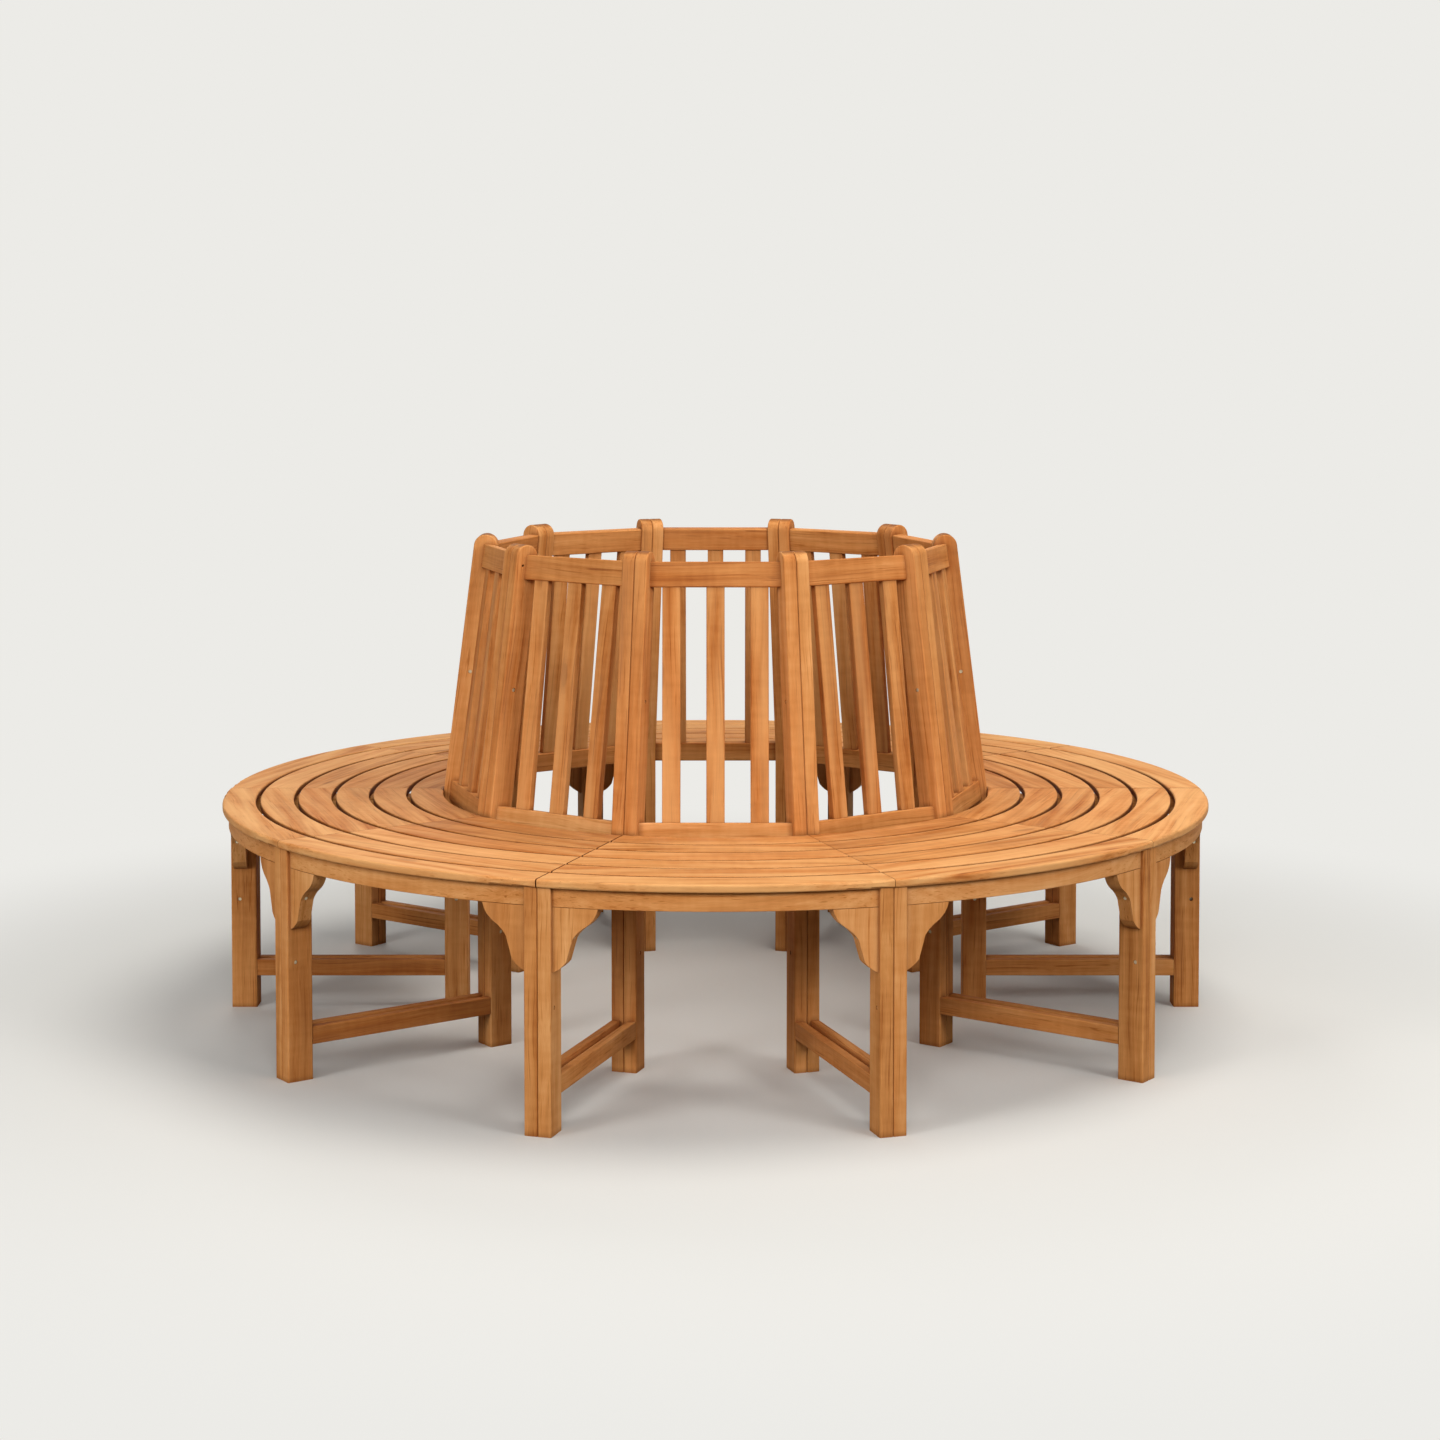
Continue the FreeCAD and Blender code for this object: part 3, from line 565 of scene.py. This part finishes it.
relief = add_node(wood, MATH, patches["pores"], rings, operation="ADD")
bump = add_node(
    wood, "ShaderNodeBump", named={"Strength": RAISED_SHARE, "Distance": RAISED_GRAIN, "Height": relief},
)
roughness = add_node(wood, MATH, patches["pores"], ROUGH_RANGE, ROUGH_AT_LEAST, operation="MULTIPLY_ADD")
surface = add_node(wood, "ShaderNodeBsdfPrincipled", named={
    "Base Color": wood_colour, "Roughness": roughness, "Normal": bump, "IOR": 1.47,
    "Specular IOR Level": 0.10,
})
add_node(wood, "ShaderNodeOutputMaterial", surface)
for name in wooden:
    for material_slot in nodes[name].material_slots:
        material_slot.material = hardwood
print("nodes in the hardwood:", len(wood.nodes), "on", len(wooden), "pieces")

# %% [markdown]
# Zinc-plated steel
#
# Bolts, sleeve nuts and screws are steel with a thin plated zinc coat, which has dulled outdoors to a warm grey.
# It gives the eye small light dots in the sides of legs and posts, with a soft shine and no mirror image. As a
# metal it has metallic 1 and keeps the default IOR, and its roughness, about 0.3 when new, has risen to between
# 0.48 and 0.68. Real zinc crystals are finer than the render shows, so they are drawn about a millimetre wide.

# %% Zinc-plated steel
CRYSTALS_TO_A_METRE = 900.0
ZINC_DARK, ZINC_LIGHT = "#B3A27C", "#E4DABF"

zinc = bpy.data.materials.new("zinc_plated_steel")
zinc.use_nodes = True
plating = zinc.node_tree
plated = plating.nodes["Principled BSDF"]
crystals = add_node(plating, NOISE, named={
    "Vector": add_node(plating, "ShaderNodeTexCoord").outputs["Object"],
    "Scale": CRYSTALS_TO_A_METRE, "Detail": 2.0,
})
zinc_ramp = add_node(plating, "ShaderNodeValToRGB", crystals)
for element, colour in zip(zinc_ramp.color_ramp.elements, (ZINC_DARK, ZINC_LIGHT)):
    element.color = linear(colour)
zinc_roughness = add_node(plating, MATH, crystals, 0.20, 0.48, operation="MULTIPLY_ADD")
plating.links.new(zinc_ramp.outputs[0], plated.inputs["Base Color"])
plating.links.new(zinc_roughness.outputs[0], plated.inputs["Roughness"])
plated.inputs["Metallic"].default_value = 1.0
for name in steel:
    for material_slot in nodes[name].material_slots:
        material_slot.material = zinc
print("plated pieces:", steel)

# %% [markdown]
# Floor and backdrop
#
# A studio rolls paper over the floor and up a wall, so that no line shows where they meet. The bench is looked at
# from all sides, so here the paper is a wide bowl, flat for eight metres and then curved up all round. It is made
# by turning a profile round the middle, ring by ring, with one many-sided face to close the floor.

# %% Bowl of paper
FLOOR_START, FLAT_TO, CURVE, TOP = 3.0, 8.0, 3.0, 5.5
TURNS, CURVE_STEPS = 96, 24

profile = [(FLOOR_START, 0.0), (FLAT_TO, 0.0)]
for step in range(1, CURVE_STEPS + 1):
    bend = math.radians(90) * step / CURVE_STEPS
    profile.append((FLAT_TO + CURVE * math.sin(bend), CURVE - CURVE * math.cos(bend)))
profile.append((FLAT_TO + CURVE, TOP))
turns = [math.tau * k / TURNS for k in range(TURNS)]
points = [(r * math.cos(turn), r * math.sin(turn), z) for r, z in profile for turn in turns]
faces = [tuple(range(TURNS))]
for ring in range(len(profile) - 1):
    for k in range(TURNS):
        after = (k + 1) % TURNS
        low, high = ring * TURNS, (ring + 1) * TURNS
        faces.append((low + k, high + k, high + after, low + after))

bowl_mesh = bpy.data.meshes.new("studio_bowl")
bowl_mesh.from_pydata(points, [], faces)
bowl_mesh.polygons.foreach_set("use_smooth", [True] * len(faces))
bowl = bpy.data.objects.new("studio_bowl", bowl_mesh)
bpy.context.scene.collection.objects.link(bowl)
print("studio floor flat to", FLAT_TO, "m, its wall", TOP, "m high, in", len(faces), "faces")

# %% [markdown]
# Matt paper
#
# Backdrop paper is uncoated, so it is rough, about 0.9, and shows no shine. Light Path lets it do three jobs. To
# the camera and in reflections it is pale, takes the shadow of the bench, and further out turns into an even glow
# of its own colour, so the background is the same from every side. To the light that it throws back up at the
# bench it is a middle grey, as dark as open ground, because a white floor would light the undersides far more than the
# photograph shows.

# %% Matt paper
PAPER_SEEN, PAPER_UNSEEN, BACKGROUND = "#D9DBDB", "#6E6C63", "#ECEBE7"
SHADOW_TO, GLOW_FROM = 1.05, 2.4

paper = bpy.data.materials.new("matt_paper")
paper.use_nodes = True
sheet = paper.node_tree
paper_surface = sheet.nodes["Principled BSDF"]
path = add_node(sheet, "ShaderNodeLightPath")
seen = add_node(sheet, MATH, path.outputs["Is Camera Ray"], path.outputs["Is Glossy Ray"], operation="MAXIMUM")
seen = add_node(sheet, MATH, seen, path.outputs["Is Transmission Ray"], operation="MAXIMUM")
paper_colour = add_node(
    sheet, "ShaderNodeMix", named={SHARE: seen, UNDER: linear(PAPER_UNSEEN), OVER: linear(PAPER_SEEN)},
    data_type="RGBA",
).outputs[LAID]
sheet.links.new(paper_colour, paper_surface.inputs["Base Color"])
paper_surface.inputs["Roughness"].default_value = 0.9

spot = add_node(sheet, "ShaderNodeTexCoord").outputs["Object"]
away = add_node(sheet, "ShaderNodeVectorMath", spot, operation="LENGTH").outputs["Value"]
far = add_node(
    sheet, "ShaderNodeMapRange", away, SHADOW_TO, GLOW_FROM, 0.0, 1.0, interpolation_type="SMOOTHSTEP",
)
even = add_node(sheet, MATH, far, seen, operation="MULTIPLY")
glow = add_node(sheet, "ShaderNodeEmission", linear(BACKGROUND), 1.0)
blend = add_node(sheet, "ShaderNodeMixShader", even, paper_surface, glow)
sheet.links.new(blend.outputs[0], sheet.nodes["Material Output"].inputs[0])
bowl_mesh.materials.append(paper)
print("shadows fade from", SHADOW_TO, "to", GLOW_FROM, "m out, into", BACKGROUND)

# %% [markdown]
# Soft studio light
#
# The photograph has broad soft light from above and from all round, a little stronger from in front than from
# behind. A dim white world stands for the part that comes from everywhere. It reaches every face and leaves a
# soft shade where boards are close together.

# %% World
WORLD_STRENGTH = 0.20
world = bpy.data.worlds.new("open_shade")
bpy.context.scene.world = world
world.use_nodes = True
background = world.node_tree.nodes["Background"]
background.inputs["Color"].default_value = linear("#FFFFFF")
background.inputs["Strength"].default_value = WORLD_STRENGTH
print("world strength:", WORLD_STRENGTH)

# %% [markdown]
# Five soft lamps
#
# Large round lamps do the rest, as softboxes do in a studio. Light adds up, so the bench was first rendered with
# one lamp at a time, and the sum that comes closest to the photograph on seat, legs, aprons and back gave the
# powers to start from. The overhead lamp gives the seat its brightness, the low left and right lamps reach under
# the rim to aprons, brackets and legs, and the back lamp keeps the far side from going dark. The camera does not
# see the lamps, so a view from another side shows no white disks.

# %% Lamps
LIT_POINT = Vector((0, 0, 0.4))
for name, place, size, power, colour in (
    ("overhead_lamp", (1.1, -0.3, 4.2), 2.6, 102, "#FFF8EE"),
    ("front_lamp", (0.0, -6.0, 3.9), 2.4, 154, "#FFFBF5"),
    ("left_lamp", (-4.2, -4.2, 2.2), 2.0, 128, "#FFFBF5"),
    ("right_lamp", (4.2, -4.0, 2.8), 2.0, 122, "#FFFAF4"),
    ("back_lamp", (-1.6, 5.2, 4.8), 2.4, 84, "#FFFAF2"),
):
    light = bpy.data.lights.new(name, "AREA")
    light.shape = "DISK"
    light.size = size
    light.energy = power
    light.color = linear(colour)[:3]
    lamp = bpy.data.objects.new(name, light)
    lamp.location = place
    lamp.rotation_euler = (LIT_POINT - Vector(place)).to_track_quat("-Z", "Y").to_euler()
    lamp.visible_camera = False
    bpy.context.scene.collection.objects.link(lamp)
    print(name, "at", place, "with", power, "W")

# %% [markdown]
# Camera
#
# The place, lens and aim of the camera were worked out from the ellipse of the rim, the feet and the post tops.
# It stands 5.7 metres in front of the middle of the bench and 1.4 metres above the ground, looks down by three
# degrees, and has a long lens, so the uprights stay almost parallel. A small shift puts the bench where the
# photograph has it, without tilting the camera further.

# %% Camera
LOOKS_DOWN = 3.0
camera_data = bpy.data.cameras.new("camera")
camera_data.sensor_width = 36.0
camera_data.lens = 69.324
camera_data.shift_x = 0.00313
camera_data.shift_y = -0.1703
camera = bpy.data.objects.new("camera", camera_data)
camera.location = (0.0, -5.6699, 1.3931)
camera.rotation_euler = (math.radians(90.0 - LOOKS_DOWN), 0.0, 0.0)
bpy.context.scene.collection.objects.link(camera)
bpy.context.scene.camera = camera
bpy.context.scene.view_settings.view_transform = "Standard"
print("camera", round(-camera.location.y, 2), "m in front, lens", camera_data.lens, "mm")
